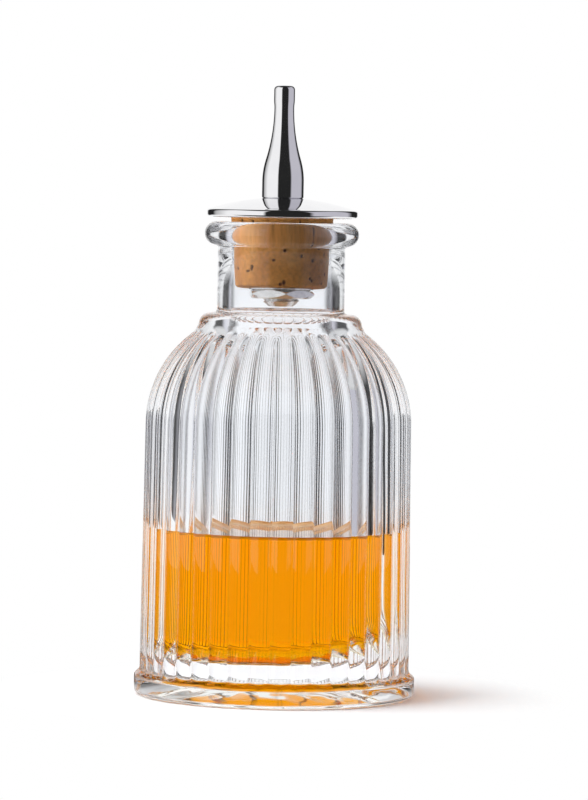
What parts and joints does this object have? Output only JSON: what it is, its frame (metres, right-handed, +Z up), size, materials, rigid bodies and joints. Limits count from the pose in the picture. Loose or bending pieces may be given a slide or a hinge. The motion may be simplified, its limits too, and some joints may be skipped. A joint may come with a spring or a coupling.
{
  "type": "bitters bottle",
  "caption": "Reeded clear glass bitters bottle with amber liquid, a tapered cork and a polished metal dasher spout that is clamped to the cork by a stem and nut.",
  "frame": {"origin": "middle of the foot, on the surface that the bottle stands on", "axes": "+Z up along the bottle's axis, from the foot to the tip of the spout"},
  "size_m": [0.06, 0.06, 0.1302],
  "materials": {
    "clear_glass": "clear, fire polished",
    "amber_liquid": "clear amber liquid",
    "cork": "natural cork with dark pores",
    "polished_metal": "mirror polished",
    "stem_metal": "bright plated"
  },
  "bodies": {
    "bottle": {"glass_bottle": "clear_glass", "bitters_liquid": "amber_liquid"},
    "stopper": {"cork_stopper": "cork"},
    "dasher_head": {"dasher_spout": "polished_metal", "cap_disc": "polished_metal", "hollow_stem": "stem_metal"},
    "washer": {"stem_washer": "stem_metal"},
    "nut": {"hex_nut": "stem_metal"}
  },
  "joints": [
    {"name": "stopper_pull", "type": "slide", "parent": "bottle", "child": "stopper", "axis": [0, 0, 1], "range_m": [0, 0.04]},
    {"name": "dasher_turn", "type": "hinge", "parent": "stopper", "child": "dasher_head", "pos_m": [0, 0, 0.102], "axis": [0, 0, 1], "continuous": true},
    {"name": "washer_drop", "type": "slide", "parent": "dasher_head", "child": "washer", "axis": [0, 0, -1], "range_m": [0, 0.0035]},
    {"name": "nut_turn", "type": "hinge", "parent": "washer", "child": "nut", "pos_m": [0, 0, 0.0862], "axis": [0, 0, -1], "range_deg": [0, 1261]}
  ],
  "couplings": [
    {"joint": "nut_turn", "follows": "washer_drop", "rad_per_m": 6283.2}
  ]
}
